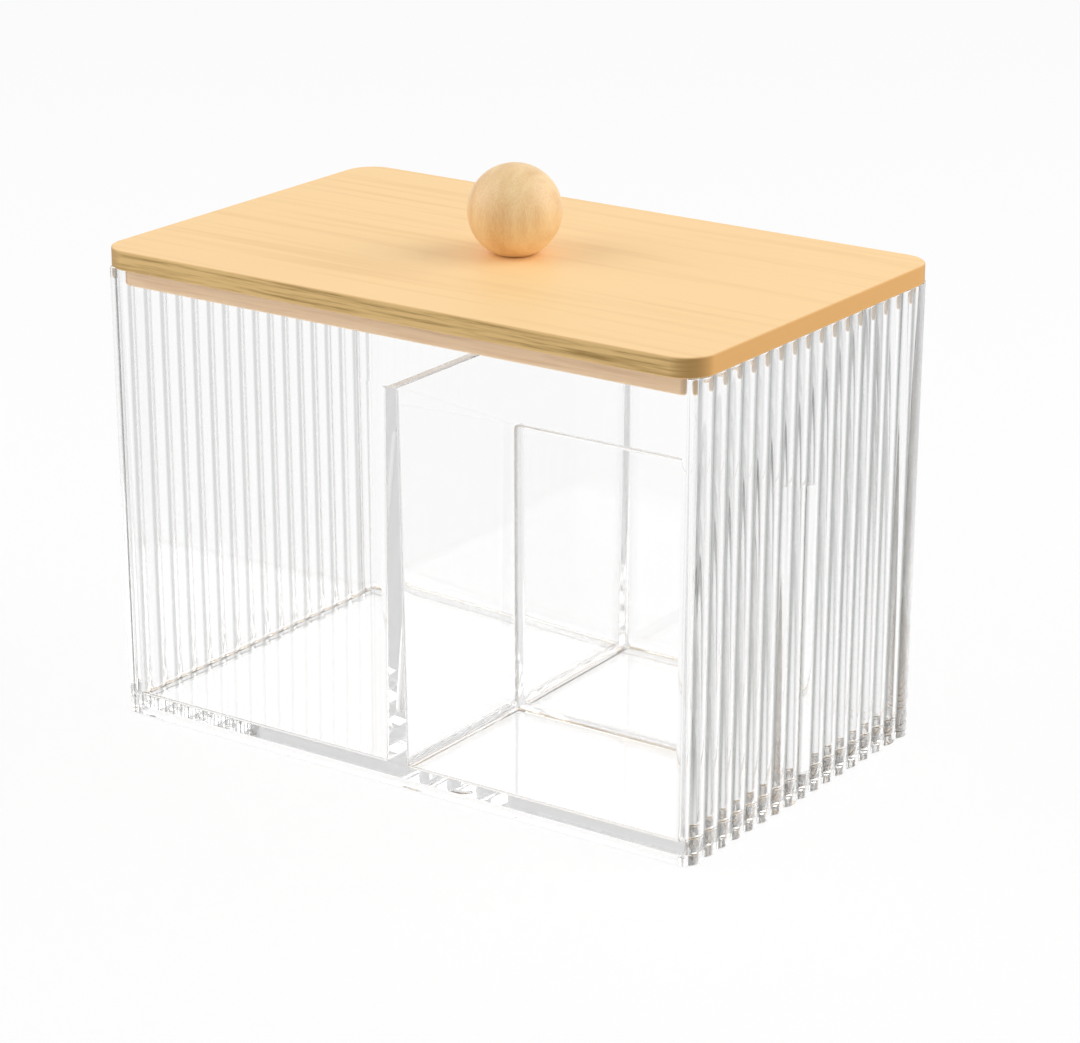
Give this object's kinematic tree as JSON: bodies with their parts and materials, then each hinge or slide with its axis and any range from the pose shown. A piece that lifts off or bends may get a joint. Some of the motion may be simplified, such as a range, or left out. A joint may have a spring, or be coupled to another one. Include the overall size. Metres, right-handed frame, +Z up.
{
  "type": "lidded compartment box",
  "caption": "Clear moulded box with ribbed ends and divided compartments, closed by a lift-off bamboo lid with a wooden ball knob.",
  "frame": {"origin": "centre of the foot ring's lower face, which is also the centre of the bottom of the bounding box", "axes": "+X along the long side towards the end with the two small compartments, +Y from the front wall to the rear wall, +Z up through the knob"},
  "size_m": [0.1836, 0.1136, 0.1527],
  "materials": {
    "clear_plastic": "clear moulded polystyrene, polished mould",
    "bamboo": "carbonised bamboo laminate, sanded, matt clear lacquer",
    "beech": "turned beech, sanded, matt clear lacquer",
    "screw_steel": "zinc-plated steel"
  },
  "bodies": {
    "box": {"container": "clear_plastic"},
    "lid": {"lid_board": "bamboo", "locating_board": "bamboo", "knob_ball": "beech", "knob_screw": "screw_steel"}
  },
  "joints": [
    {"name": "lid_lift", "type": "slide", "parent": "box", "child": "lid", "axis": [0, 0, 1], "range_m": [0, 0.06]}
  ]
}
